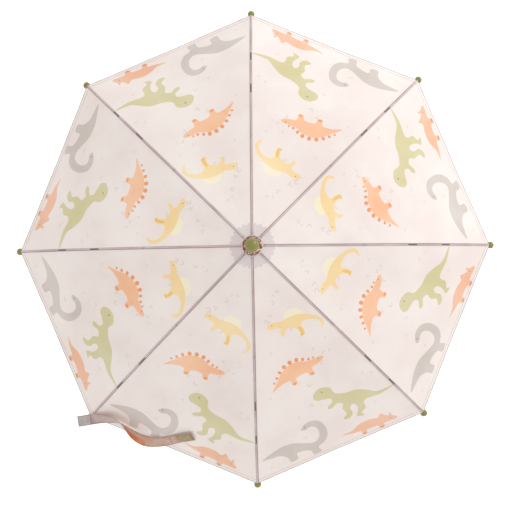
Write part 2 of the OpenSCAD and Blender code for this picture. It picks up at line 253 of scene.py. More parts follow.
@dataclass(frozen=True)
class PlatedSteel:
    """Zinc-plated drawn steel: bright, with fine draw lines along the metal."""

    name: str
    colour: str = "#c6c7ca"
    dull: str = "#a9aaae"
    roughness: float = 0.3

    def make(self) -> bpy.types.Material:
        """Build the material: draw lines and a cloudy plating."""
        recipe = Recipe(self.name)
        drawn = recipe.add("Mapping", {"Vector": recipe.place, "Scale": (900.0, 900.0, 60.0)}).outputs[0]
        lines = recipe.noise(1.0, 3.0, place=drawn)
        colour = recipe.blend(recipe.noise(90.0, 4.0), self.colour, self.dull)
        rough = recipe.spread(lines, (0.0, 1.0), (self.roughness - 0.1, self.roughness + 0.14))
        return recipe.close(colour, rough, recipe.bump(lines, 0.08, 0.0002), Metallic=1.0)


class Ink(Enum):
    """Inks of the canopy print, with the face and the paler reverse of each."""

    GROUND = ("ground", "#f3e9e3", "#eee0da")
    MIST = ("mist", "#e8dbd6", "#e2d3cd")
    SLATE = ("slate", "#d8cec7", "#cec3ba")
    SAGE = ("sage", "#dbd2ab", "#d3c999")
    APRICOT = ("apricot", "#f9cba8", "#f5bd96")
    RUST = ("rust", "#f2a878", "#ec9a66")
    BUTTER = ("butter", "#f8efd6", "#f6eaca")
    SAND = ("sand", "#f9e0b0", "#f5d59c")
    OCHRE = ("ochre", "#f2cc83", "#ecc070")
    PEACH = ("peach", "#f2c5aa", "#edb796")
    BRICK = ("brick", "#e49a80", "#de8c70")
    EYE = ("eye", "#a3948b", "#998a80")
    SHADE = ("shade", "#e2d7d6", "#dacdcb")

    def __init__(self, label: str, face: str, wash: str) -> None:
        """Name the parts of an ink."""
        self.label = label
        self.face = face
        self.wash = wash


INKS = list(Ink)


def paler(code: str, share: float = 0.5) -> str:
    """Mix a hex colour with the ground colour, as print shows on the back of thin cloth.

    Args:
        code: Colour as "#rrggbb".
        share: How much of the ground colour goes in.

    Returns:
        The mixed colour as "#rrggbb".
    """
    ground = Ink.GROUND.face
    channels = ((int(code[n : n + 2], 16), int(ground[n : n + 2], 16)) for n in (1, 3, 5))
    return "#" + "".join(f"{round(own * (1 - share) + under * share * 0.94):02x}" for own, under in channels)


class Palette:
    """Every finish of the umbrella, made once."""

    def __init__(self) -> None:
        """Make the materials."""

        def cloth(name: str, *look: str | float) -> bpy.types.Material:
            """Make one fabric from its colours and weave."""
            return PrintedPolyester(name, *look).make()

        self.face = [cloth(f"pongee_{k.label}", k.face, k.wash) for k in INKS]
        self.back = [cloth(f"pongee_back_{k.label}", paler(k.face), paler(k.wash)) for k in INKS]
        self.seam = cloth("seam_binding", "#dccccb", "#c9b4b4", 45.0, 0.9, 0.25, 0.88)
        # painted shade: the dark mauve line laid along the drop of each seam's fold, where the fold's shadow
        # falls
        self.crease = cloth("seam_fold_shade", "#9c8587", "#8a7274", 30.0, 0.9, 0.25, 0.9)
        self.edge = cloth("hem_edge", "#b9aeb0", "#a5979a", 20.0, 0.9, 0.2, 0.85)
        self.thread = cloth("spun_thread", "#b9a3a4", "#a89092", 8.0, 0.5, 0.5, 0.9)
        self.tack = cloth("tack_thread", "#93807f", "#836f6f", 8.0, 0.5, 0.5, 0.9)
        self.band = cloth("strap_face", "#d3b3a0", "#c09a86", 26.0, 1.0, 0.15, 0.85)
        self.band_print = cloth("strap_print", "#d98d66", "#c96f4b", 18.0, 1.0, 0.15, 0.85)
        self.band_back = cloth("strap_back", "#c9b5af", "#ae9690", 22.0, 1.0, 0.15, 0.85)
        self.hook = cloth("hook_tape", "#cfc8c4", "#bdb4b0", 5.0, 0.8, 0.9, 0.9)
        self.loop = cloth("loop_tape", "#bcaa86", "#a8926f", 5.0, 0.8, 0.9, 0.9)
        self.frill = [
            cloth(f"frill_{label}", ink, wash, 7.0, 0.9, 0.2, 0.88)
            for label, ink, wash in (
                ("cream", "#efe4d8", "#e3d3c4"),
                ("brown", "#9a7058", "#84594a"),
                ("clay", "#d98f62", "#c9794e"),
            )
        ]
        self.mist = self.face[INKS.index(Ink.MIST)]
        self.olive = MouldedPlastic("olive_abs", "#8f8a3f", "#7d7835").make()
        self.white = MouldedPlastic("white_nylon", "#e9e6df", "#dedad1", 0.42).make()
        self.tube = PlatedSteel("zinc_tube").make()
        self.channel = PlatedSteel("zinc_channel", "#b4b5b9", "#94959a", 0.36).make()


# ---------------------------------------------------------------- geometry helpers


def make_object(
    name: str, points: list, faces: list, materials: list, marks: list | None = None
) -> bpy.types.Object:
    """Make a smooth mesh object from points and faces.

    Args:
        name: Name of the object.
        points: Vertices, in metres.
        faces: Vertex numbers of each face.
        materials: Materials of the object's slots.
        marks: Slot number of each face, or None for the first slot.

    Returns:
        The linked object.
    """
    mesh = bpy.data.meshes.new(name)
    mesh.from_pydata([tuple(p) for p in points], [], faces)
    for material in materials:
        mesh.materials.append(material)
    mesh.polygons.foreach_set("use_smooth", [True] * len(mesh.polygons))
    if marks:
        mesh.polygons.foreach_set("material_index", marks)
    mesh.update()
    thing = bpy.data.objects.new(name, mesh)
    bpy.context.scene.collection.objects.link(thing)
    return thing


def loft(rings: list[list[Vector]], looped: bool = False) -> Mesh:
    """Join rings of points into a tube.

    Args:
        rings: Rings with the same number of points.
        looped: Whether the last ring joins the first.

    Returns:
        Points and faces.
    """
    size = len(rings[0])
    points = [p for ring in rings for p in ring]
    faces = []
    count = len(rings)
    for n in range(count if looped else count - 1):
        for k in range(size):
            a, b = n * size + k, n * size + (k + 1) % size
            c, d = (n + 1) % count * size + k, (n + 1) % count * size + (k + 1) % size
            faces.append((a, b, d, c))
    if not looped:
        faces.append(tuple(reversed(range(size))))
        faces.append(tuple(range((count - 1) * size, count * size)))
    return points, faces


@dataclass
class Heap:
    """Points and faces gathered from several pieces of one object."""

    points: list = field(default_factory=list)
    faces: list = field(default_factory=list)
    marks: list = field(default_factory=list)

    def add(self, points: list, faces: list, mark: int = 0) -> None:
        """Add a piece with one slot number."""
        start = len(self.points)
        self.points += points
        self.faces += [tuple(start + k for k in f) for f in faces]
        self.marks += [mark] * len(faces)


def fix_normals(thing: bpy.types.Object, sheet: bool = False) -> None:
    """Turn every face of a closed mesh outwards, or every face of a sheet upwards."""
    work = bmesh.new()
    work.from_mesh(thing.data)
    if sheet:
        bmesh.ops.reverse_faces(work, faces=[f for f in work.faces if f.normal.z < 0])
    else:
        bmesh.ops.recalc_face_normals(work, faces=work.faces)
    work.to_mesh(thing.data)
    work.free()


def make_closed(name: str, heap: Heap, rib: int, materials: list) -> bpy.types.Object:
    """Make a closed object out of pieces drawn for rib 1.

    Args:
        name: Name of the object.
        heap: The pieces' points, faces and slot numbers.
        rib: Number of the rib that the object is turned to.
        materials: Materials of the object's slots.

    Returns:
        The object, with its faces outwards.
    """
    thing = make_object(name, turned(heap.points, rib), heap.faces, materials, heap.marks)
    fix_normals(thing)
    return thing


def apply_modifiers(thing: bpy.types.Object) -> None:
    """Replace the mesh with its modified one and drop the modifiers."""
    graph = bpy.context.evaluated_depsgraph_get()
    mesh = bpy.data.meshes.new_from_object(thing.evaluated_get(graph))
    thing.modifiers.clear()
    thing.data = mesh


def turned(points: list[Vector], rib: int) -> list[Vector]:
    """Turn points drawn for rib 1 to another rib."""
    spin = Matrix.Rotation((rib - 1) * PITCH, 3, "Z")
    return [spin @ p for p in points]


def between(a: Vector, b: Vector, c: Vector, d: Vector, s: float) -> Vector:
    """Point of a Catmull-Rom curve at a share of its stretch from b to c."""
    bend, twist = 2 * a - 5 * b + 4 * c - d, 3 * b - a - 3 * c + d
    return 0.5 * (2 * b + (c - a) * s + bend * s * s + twist * s * s * s)


def smooth_outline(knots: tuple[tuple[float, float], ...], steps: int = 4) -> list[Vector]:
    """Run a closed Catmull-Rom curve through knots.

    Args:
        knots: Corner points of the outline, in order.
        steps: Points on each stretch between two knots.

    Returns:
        Points of the closed curve.
    """
    found = []
    for n in range(len(knots)):
        near = [Vector(knots[(n + k) % len(knots)]) for k in (-1, 0, 1, 2)]
        found += [between(*near, k / steps) for k in range(steps)]
    return found


def inside(x: float, y: float, outline: list[Vector]) -> bool:
    """Tell whether a point lies inside an outline."""
    hit = False
    last = outline[-1]
    for now in outline:
        if (now.y > y) != (last.y > y) and x < (last.x - now.x) * (y - now.y) / (last.y - now.y) + now.x:
            hit = not hit
        last = now
    return hit


def spline(knots: list[Vector], n: int, s: float) -> Vector:
    """Point of an open smooth curve between knot n and the next."""
    return between(*(knots[max(0, min(len(knots) - 1, n + k))] for k in (-1, 0, 1, 2)), s)


# ---------------------------------------------------------------- print


@dataclass(frozen=True)
class Dab:
    """Small oval of one ink on a beast: middle, half length, width share and lean in degrees."""

    ink: Ink
    x: float
    y: float
    size: float
    share: float = 0.8
    lean: float = 0.0


def dabs(ink: Ink, *spots: tuple[float, ...]) -> tuple[Dab, ...]:
    """Make several dabs of one ink."""
    return tuple(Dab(ink, *spot) for spot in spots)


@dataclass(frozen=True)
class Beast:
    """A generic animal shape of the print: outline one unit long, with feet down."""

    ink: Ink
    outline: tuple[tuple[float, float], ...]
    under: tuple[Dab, ...] = ()
    over: tuple[Dab, ...] = ()


LONG_NECK = Beast(
    Ink.SLATE,
    (
        (-0.52, 0.1), (-0.36, 0.15), (-0.18, 0.17), (-0.02, 0.13), (0.12, 0.03), (0.24, -0.04), (0.33, 0.0),
        (0.38, 0.12), (0.36, 0.23), (0.29, 0.27), (0.22, 0.25), (0.17, 0.29), (0.24, 0.35), (0.35, 0.36),
        (0.45, 0.29), (0.49, 0.14), (0.46, -0.02), (0.37, -0.13), (0.26, -0.17), (0.27, -0.28), (0.15, -0.28),
        (0.14, -0.17), (0.04, -0.1), (-0.05, -0.09), (-0.07, -0.2), (-0.18, -0.2), (-0.19, -0.08),
        (-0.27, 0.02),
        (-0.39, 0.06),
    ),
    over=dabs(Ink.EYE, (0.23, 0.305, 0.012)),
)
BIPED = Beast(
    Ink.SAGE,
    (
        (-0.52, 0.16), (-0.49, 0.25), (-0.4, 0.3), (-0.29, 0.28), (-0.23, 0.19), (-0.1, 0.17), (0.06, 0.2),
        (0.2, 0.17), (0.34, 0.13), (0.56, 0.2), (0.38, 0.08), (0.2, 0.03), (0.16, -0.03), (0.19, -0.12),
        (0.14, -0.2), (0.18, -0.25), (0.08, -0.25), (0.09, -0.16), (0.07, -0.07), (0.01, -0.03),
        (-0.02, -0.1), (0.02, -0.18), (-0.02, -0.27), (-0.1, -0.27), (-0.06, -0.18), (-0.12, -0.09),
        (-0.12, 0.0), (-0.2, 0.02), (-0.25, -0.04), (-0.31, -0.06), (-0.31, -0.01), (-0.26, 0.05),
        (-0.29, 0.11), (-0.38, 0.11), (-0.47, 0.1),
    ),
    over=dabs(Ink.EYE, (-0.4, 0.23, 0.013)),
)
PLATED = Beast(
    Ink.APRICOT,
    (
        (-0.54, -0.12), (-0.38, 0.02), (-0.24, 0.14), (-0.08, 0.2), (0.1, 0.18), (0.24, 0.1), (0.36, 0.09),
        (0.5, 0.07), (0.5, 0.01), (0.38, -0.03), (0.28, -0.04), (0.25, -0.11), (0.26, -0.18), (0.17, -0.18),
        (0.13, -0.09), (-0.06, -0.09), (-0.09, -0.19), (-0.18, -0.19), (-0.19, -0.08), (-0.36, -0.07),
    ),
    over=dabs(
        Ink.RUST,
        (-0.43, 0.03, 0.024, 0.8, 40), (-0.35, 0.095, 0.03, 0.8, 38), (-0.26, 0.165, 0.036, 0.8, 32),
        (-0.15, 0.22, 0.042, 0.85, 18), (-0.03, 0.24, 0.044, 0.85, 4), (0.09, 0.225, 0.042, 0.85, -12),
        (0.19, 0.175, 0.036, 0.8, -26), (0.28, 0.125, 0.028, 0.8, -14), (0.36, 0.115, 0.022, 0.8, -6),
        (0.215, -0.165, 0.034, 0.8, 90), (-0.135, -0.175, 0.034, 0.8, 90),
    ) + dabs(Ink.EYE, (0.43, 0.05, 0.013)),
)
SAIL_BACK = Beast(
    Ink.SAND,
    (
        (0.52, 0.15), (0.44, 0.2), (0.34, 0.19), (0.24, 0.14), (0.1, 0.15), (-0.06, 0.14), (-0.2, 0.09),
        (-0.34, 0.0), (-0.46, -0.12), (-0.5, -0.24), (-0.45, -0.34), (-0.38, -0.37), (-0.42, -0.3),
        (-0.42, -0.2), (-0.36, -0.12), (-0.26, -0.06), (-0.14, -0.06), (-0.08, -0.12), (-0.1, -0.22),
        (-0.06, -0.32), (0.02, -0.33), (0.0, -0.25), (0.02, -0.16), (0.08, -0.09), (0.18, -0.05),
        (0.26, -0.1),
        (0.3, -0.17), (0.35, -0.12), (0.31, -0.04), (0.3, 0.02), (0.4, 0.07), (0.5, 0.1),
    ),
    under=dabs(Ink.BUTTER, (-0.04, 0.15, 0.15, 1.25, 12)),
    over=dabs(Ink.OCHRE, (-0.04, -0.21, 0.1, 0.3, -6), (-0.03, -0.3, 0.05, 0.5, 90))
    + dabs(Ink.EYE, (0.42, 0.15, 0.013)),
)
HORNED = Beast(
    Ink.PEACH,
    (
        (-0.54, 0.0), (-0.36, 0.02), (-0.18, 0.14), (0.03, 0.17), (0.17, 0.14), (0.23, 0.23), (0.3, 0.16),
        (0.37, 0.11), (0.41, 0.19), (0.44, 0.09), (0.53, 0.0), (0.49, -0.05), (0.37, -0.05), (0.27, -0.07),
        (0.27, -0.16), (0.17, -0.16), (0.15, -0.08), (-0.06, -0.08), (-0.07, -0.17), (-0.17, -0.17),
        (-0.18, -0.07), (-0.34, -0.05),
    ),
    over=dabs(Ink.BRICK, (0.22, -0.145, 0.034, 0.7, 90), (-0.12, -0.155, 0.034, 0.7, 90))
    + dabs(Ink.EYE, (0.4, 0.03, 0.013)),
)


@dataclass(frozen=True)
class Placing:
    """Where a beast stands on a gore: mm from the gore's middle, mm down the rib, size, turn and facing."""

    beast: Beast
    across: float
    down: float
    size: float
    turn: float
    flip: bool = False


GORE_PRINT = (
    Placing(SAIL_BACK, 12, 124, 74, 4, True),
    Placing(PLATED, -13, 200, 84, 6),
    Placing(BIPED, 42, 287, 112, -19),
    Placing(LONG_NECK, -57, 330, 104, 5),
    Placing(HORNED, 53, 347, 80, -6),
)


@dataclass
class GorePrint:
    """The print of one gore in flat cloth: x across from its middle, y down the rib, in metres."""

    sprigs: int = 26
    seed: int = 7

    def outlines(self, curve: RibCurve) -> Drawing:
        """List every printed outline with its ink, later ones lying over earlier ones.

        Args:
            curve: The ribs' curve, for the gore's width and the lining's edge.

        Returns:
            Pairs of the ink's number and the outline.
        """
        found = [(INKS.index(Ink.SHADE), self.lining_edge(curve))]
        dice = random.Random(self.seed)
        for _ in range(self.sprigs):
            down = dice.uniform(60, 355) * MM
            room = curve.half_width(down) - 0.012
            middle = Vector((dice.uniform(-room, room), down))
            found += self.sprig(middle, dice.uniform(0, math.tau), dice.uniform(4.0, 7.5) * MM)
        for placing in GORE_PRINT:
            found += self.beast(placing)
        return found

    def sprig(self, middle: Vector, turn: float, size: float) -> Drawing:
        """Draw a faint two-leaf sprig."""
        leaves = []
        for lean in (-0.55, 0.55):
            way = Vector((math.cos(turn + lean), math.sin(turn + lean)))
            side = Vector((-way.y, way.x))
            leaf = [
                middle + way * size * (1 + math.cos(a)) / 2 + side * size * 0.16 * math.sin(a)
                for a in circle(10)
            ]
            leaves.append((INKS.index(Ink.MIST), leaf))
        return leaves

    def beast(self, placing: Placing) -> Drawing:
        """Draw one beast and its dabs at its place."""
        spin = Matrix.Rotation(math.radians(placing.turn), 2)
        middle = Vector((placing.across, placing.down)) * MM

        def put(p: Vector) -> Vector:
            """Place a point of the beast on the gore."""
            flat = spin @ Vector((-p.x if placing.flip else p.x, p.y)) * placing.size * MM
            return middle + Vector((flat.x, -flat.y))

        def oval(dab: Dab) -> tuple[int, list[Vector]]:
            """Draw a dab's outline with its ink."""
            lean = math.radians(-dab.lean)
            way = Vector((math.sin(lean), math.cos(lean)))
            side = Vector((way.y, -way.x)) * dab.share
            spot = Vector((dab.x, dab.y))
            ring = [put(spot + (way * math.sin(a) + side * math.cos(a)) * dab.size) for a in circle(12)]
            return INKS.index(dab.ink), ring

        kind = placing.beast
        body = [put(p) for p in smooth_outline(kind.outline)]
        return [*map(oval, kind.under), (INKS.index(kind.ink), body), *map(oval, kind.over)]

    def lining_edge(self, curve: RibCurve) -> list[Vector]:
        """Draw where the pinked lining under the crown shows through."""
        lining = Lining()
        edge = []
        for k in range(41):
            a = HALF * (k / 20 - 1)
            radius = lining.edge_radius(a + HALF)
            edge.append(Vector((radius * math.sin(a), curve.down_at(radius * math.cos(a) / math.cos(HALF)))))
        start = -0.012
        return [Vector((-0.02, start)), *edge, Vector((0.02, start))]


# ---------------------------------------------------------------- frame measures


@dataclass
class RibCurve:
    """Curve of the open ribs, read from the frame's joints: lengths in metres, slopes in radians."""

    pivot: Vector
    joint: Vector
    arm_l: float
    slope: float
    bend: float
    outer_l: float = 220 * MM
    tip_slope: float = math.radians(44)
    gap: float = 2.7 * MM
    cloth: float = 0.4 * MM

    @classmethod
    def from_frame(cls, frame: dict) -> RibCurve:
        """Read rib 1's pivots from the frame's joints."""
        places = {j["name"]: Vector(j["pos_m"]) for j in frame["joints"] if "pos_m" in j}
        pivot, joint = places["rib_fold_1"], places["rib_unbend_1"]
        arm = joint - pivot
        slope = math.atan2(-arm.z, arm.x)
        bend = cls.outer_l / (cls.tip_slope - slope)
        return cls(pivot, joint, arm.length, slope, bend)

    @property
    def end(self) -> float:
        """Length along the rib at which the canopy ends."""
        return self.arm_l + self.outer_l - 3 * MM

    @property
    def start(self) -> float:
        """Length along the rib at which the canopy begins, beside the shaft."""
        return (5.2 * MM - self.pivot.x) / math.cos(self.slope)

    def place(self, down: float, off: float) -> tuple[float, float]:
        """Radius and height at a length along the rib, off its centre line."""
        if down < self.arm_l:
            ahead = Vector((math.cos(self.slope), -math.sin(self.slope))) * down
            lift = Vector((math.sin(self.slope), math.cos(self.slope))) * off
            return self.pivot.x + ahead.x + lift.x, self.pivot.z + ahead.y + lift.y
        angle = self.slope + (down - self.arm_l) / self.bend
        middle_r = self.joint.x - self.bend * math.sin(self.slope)
        middle_z = self.joint.z - self.bend * math.cos(self.slope)
        reach = self.bend + off
        return middle_r + reach * math.sin(angle), middle_z + reach * math.cos(angle)

    def down_at(self, radius: float) -> float:
        """Length along the rib's straight part at a radius."""
        return (radius - self.pivot.x) / math.cos(self.slope)

    def half_width(self, down: float) -> float:
        """Half the width of a gore at a length along its ribs."""
        return self.place(down, self.gap + self.cloth)[0] * math.sin(HALF)

    def on_cloth(self, down: float, from_rib: float, off: float) -> Vector:
        """Point of the canopy of rib 1.

        Args:
            down: Length along the rib.
            from_rib: Distance from the rib along the chord to the next rib, negative on the far side.
            off: Height above the rib's centre line.

        Returns:
            The point, in the row frame.
        """
        radius, height = self.place(down, off)
        side = math.copysign(1, from_rib)
        reach = abs(from_rib)
        return Vector((radius - math.sin(HALF) * reach, side * math.cos(HALF) * reach, height))

    def sag(self, down: float, from_rib: float) -> float:
        """How far the taut cloth dips between two ribs, with faint pull lines towards the tips.

        Args:
            down: Length along the rib.
            from_rib: Distance from the rib, as in on_cloth.

        Returns:
            Depth under the straight line between the ribs.
        """
        wide = self.half_width(down)
        share = from_rib / wide - math.copysign(1, from_rib)
        along = max(0.0, min(1.0, down / self.end))
        dip = (0.9 * along + 1.9 * math.sin(math.pi * along)) * math.cos(share * math.pi / 2) ** 2
        pull = 0.3 * along * (1 - share * share) * math.sin(9 * share + 3 * math.sin(40 * down))
        near = abs(share)
        crease = 0.16 * along * along * math.sin(near * 70) * max(0.0, near - 0.72) * (1 - near) * 40
        return (dip + pull + crease) * MM

    def face(self, down: float, from_rib: float) -> float:
        """Height of the cloth's upper face above the rib's centre line."""
        return self.gap + self.cloth - self.sag(down, from_rib)

    def bar(self, rows: list[list[tuple[float, float, float]]]) -> Mesh:
        """Loft rows of places on the cloth, each a length down, a distance from the rib and a height."""
        return loft([[self.on_cloth(*place) for place in row] for row in rows])


# ---------------------------------------------------------------- canopy


@dataclass
class Lining:
    """Small pinked lining disc under the crown."""

    radius: float = 32 * MM
    inner: float = 15.5 * MM
    tooth: float = 3.4 * MM
    teeth: int = 24

    def edge_radius(self, angle: float) -> float:
        """Radius of the pinked edge at an angle."""
        turn = angle * self.teeth / math.tau
        return self.radius - self.tooth * abs(2 * (turn % 1) - 1)

    def build(self, curve: RibCurve, palette: Palette) -> list[bpy.types.Object]:
        """Make the eight parts of the lining, one under each rib's cloth."""
        made = []
        off = curve.gap - 0.55 * MM
        steps = 30
        for rib in range(1, RIBS + 1):
            tops = []
            for k in range(steps + 1):
                angle = HALF * (2 * k / steps - 1) * 0.99
                row = []
                for radius in (self.inner, (self.inner + self.radius) / 2, self.edge_radius(angle)):
                    from_rib = radius * math.sin(angle) / math.cos(HALF)
                    rib_r = radius * math.cos(angle) + abs(from_rib) * math.sin(HALF)
                    row.append(curve.on_cloth(curve.down_at(rib_r), from_rib, off))
                tops.append(row)
            rings = [[*row, *[p - Vector((0, 0, 0.25 * MM)) for p in reversed(row)]] for row in tops]
            points, faces = loft(rings)
            thing = make_object(f"lining_{rib}", turned(points, rib), faces, [palette.mist])
            fix_normals(thing)
            ride_rib(thing, rib, "arm")
            made.append(thing)
        return made


@dataclass
class Canopy:
    """The printed canopy: eight gores in one sheet, cut where the ribs carry it."""

    curve: RibCurve
    palette: Palette
    grid_down: float = 8 * MM
    grid_across: float = 11 * MM
    thick: float = 0.3 * MM
    tuck: float = 16 * MM

    def cut_gore(self) -> tuple[list[Vector], list[tuple[list[int], int, str, int]]]:
        """Cut one flat gore into triangles along its print.

        Returns:
            Flat points, and for each triangle its corners, ink, part ("arm" or "end") and side.
        """
        curve = self.curve
        verts: list[Vector] = []
        edges: list[tuple[int, int]] = []

        def line(points: list[Vector], shut: bool = False) -> None:
            """Add a line that the triangles must keep to."""
            first = len(verts)
            verts.extend(points)
            edges.extend((first + n, first + n + 1) for n in range(len(points) - 1))
            if shut:
                edges.append((first + len(points) - 1, first))

        rows = self.rows()
        for side in (-1, 0, 1):
            line([Vector((side * curve.half_width(down), down)) for down in rows])
        for down in (curve.start, curve.arm_l, curve.end):
            wide = curve.half_width(down)
            line([Vector((wide * k / 20, down)) for k in range(-20, 21)])
        for down in rows[1:-1]:
            wide = curve.half_width(down)
            count = int(wide / self.grid_across)
            for k in range(1, count + 1):
                x = wide * k / (count + 1)
                verts.extend((Vector((x, down)), Vector((-x, down))))
        drawn = GorePrint().outlines(curve)
        for _, outline in drawn:
            line(outline, True)
        points, _, faces, *_ = delaunay_2d_cdt(verts, edges, [], 0, 1e-6, False)
        boxes = [
            (min(p.x for p in o), max(p.x for p in o), min(p.y for p in o), max(p.y for p in o))
            for _, o in drawn
        ]
        found = []
        for face in faces:
            x = sum(points[k].x for k in face) / 3
            y = sum(points[k].y for k in face) / 3
            if not curve.start < y < curve.end or abs(x) > curve.half_width(y):
                continue
            ink = 0
            for (number, outline), (x0, x1, y0, y1) in zip(drawn, boxes):
                if x0 < x < x1 and y0 < y < y1 and inside(x, y, outline):
                    ink = number
            found.append((list(face), ink, "arm" if y < curve.arm_l else "end", 1 if x > 0 else -1))
        return points, found

    def rows(self) -> list[float]:
        """Lengths along the rib at which the cloth has a row of points."""
        curve = self.curve
        inner = max(2, round((curve.arm_l - curve.start) / self.grid_down))
        outer = max(2, round((curve.end - curve.arm_l) / self.grid_down))
        rows = [curve.start + (curve.arm_l - curve.start) * k / inner for k in range(inner)]
        return rows + [curve.arm_l + (curve.end - curve.arm_l) * k / outer for k in range(outer + 1)]

    def build(self) -> list[bpy.types.Object]:
        """Make the cloth of every rib, in an arm part and an end part."""
        flat, triangles = self.cut_gore()
        curve = self.curve
        pieces = {}
        for part in ("arm", "end"):
            heap = Heap()
            for side in (-1, 1):
                chosen = [t for t in triangles if t[2] == part and t[3] == side]
                used = sorted({k for t in chosen for k in t[0]})
                number = {k: n for n, k in enumerate(used)}
                start = len(heap.points)
                for k in used:
                    x, down = flat[k]
                    wide = curve.half_width(down)
                    # the left half of a gore lies on the rib's far side, the right half on its near side
                    from_rib = wide + x if side < 0 else x - wide
                    from_rib = max(from_rib, 1e-6) if side < 0 else min(from_rib, -1e-6)
                    heap.points.append(curve.on_cloth(down, from_rib, curve.face(down, from_rib)))
                for corners, ink, _, _ in chosen:
                    heap.faces.append(tuple(start + number[k] for k in corners))
                    heap.marks.append(ink)
                heap.add(*(self.side_tuck(side) if part == "arm" else self.top_tuck(side)))
            pieces[part] = heap
        made = []
        for rib in range(1, RIBS + 1):
            for part, heap in pieces.items():
                made.append(self.dress(f"canopy_{part}_{rib}", heap, rib, part))
        return made

    def side_tuck(self, side: int) -> Mesh:
        """Lay a margin under the next rib's cloth, which fills the valley when the ribs close."""
        curve = self.curve
        rows = [t for t in self.rows() if t <= curve.arm_l + 1e-6]
        table = []
        for down in rows:
            wide = curve.half_width(down)
            margin = min(0.75 * wide, self.tuck * (1 - 0.7 * max(0.0, down) / curve.arm_l))
            reaches = (-1 * MM, margin / 3, margin * 2 / 3, margin)
            table.append([(down, side * (wide + reach)) for reach in reaches])
        return self.under(table, (0.6 if side < 0 else 0.9) * MM)

    def top_tuck(self, side: int) -> Mesh:
        """Lay a margin of the end part under the arm part, which fills the joint when the rib straightens."""
        curve = self.curve
        table = []
        for share in (n / 12 for n in range(13)):
            lengths = (curve.arm_l + back * MM for back in (1.5, -4 * share, -8 * share, -12 * share))
            table.append([(down, side * max(1e-5, share * curve.half_width(down))) for down in lengths])
        return self.under(table, (0.75 if side < 0 else 1.05) * MM)

    def under(self, table: list[list[tuple[float, float]]], depth: float) -> Mesh:
        """Turn rows of cloth places into a sheet that lies under the face by a depth."""
        curve = self.curve
        top = curve.gap + curve.cloth - depth
        places = (place for row in table for place in row)
        points = [curve.on_cloth(down, reach, top - curve.sag(down, reach)) for down, reach in places]
        size = len(table[0])
        faces = [
            (n * size + k, n * size + k + 1, (n + 1) * size + k + 1, (n + 1) * size + k)
            for n in range(len(table) - 1)
            for k in range(size - 1)
        ]
        return points, faces

    def dress(self, name: str, heap: Heap, rib: int, part: str) -> bpy.types.Object:
        """Make one cloth piece with its thickness and let it ride on its rib."""
        slots = self.palette.face + self.palette.back
        thing = make_object(name, turned(heap.points, rib), heap.faces, slots, heap.marks)
        fix_normals(thing, sheet=True)
        solid = thing.modifiers.new("cloth", "SOLIDIFY")
        solid.thickness = self.thick
        solid.offset = -1
        solid.material_offset = len(INKS)
        solid.use_rim = False
        apply_modifiers(thing)
        ride_rib(thing, rib, part)
        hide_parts(f"canopy_panel_{rib}")
        curve = self.curve
        low, high, node = {
            "arm": (curve.start, curve.arm_l, "rib_inner"), "end": (curve.arm_l, curve.end, "rib_outer")
        }[part]
        flat = (2 * curve.half_width(high) * 1.01, (high - low) * 1.02)
        return thing


def ride_rib(thing: bpy.types.Object, rib: int, part: str) -> None:
    """Let a soft piece ride on a rib."""
    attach(thing, f"rib_{part}_{rib}")
    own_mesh(thing)


# ---------------------------------------------------------------- seams and hem


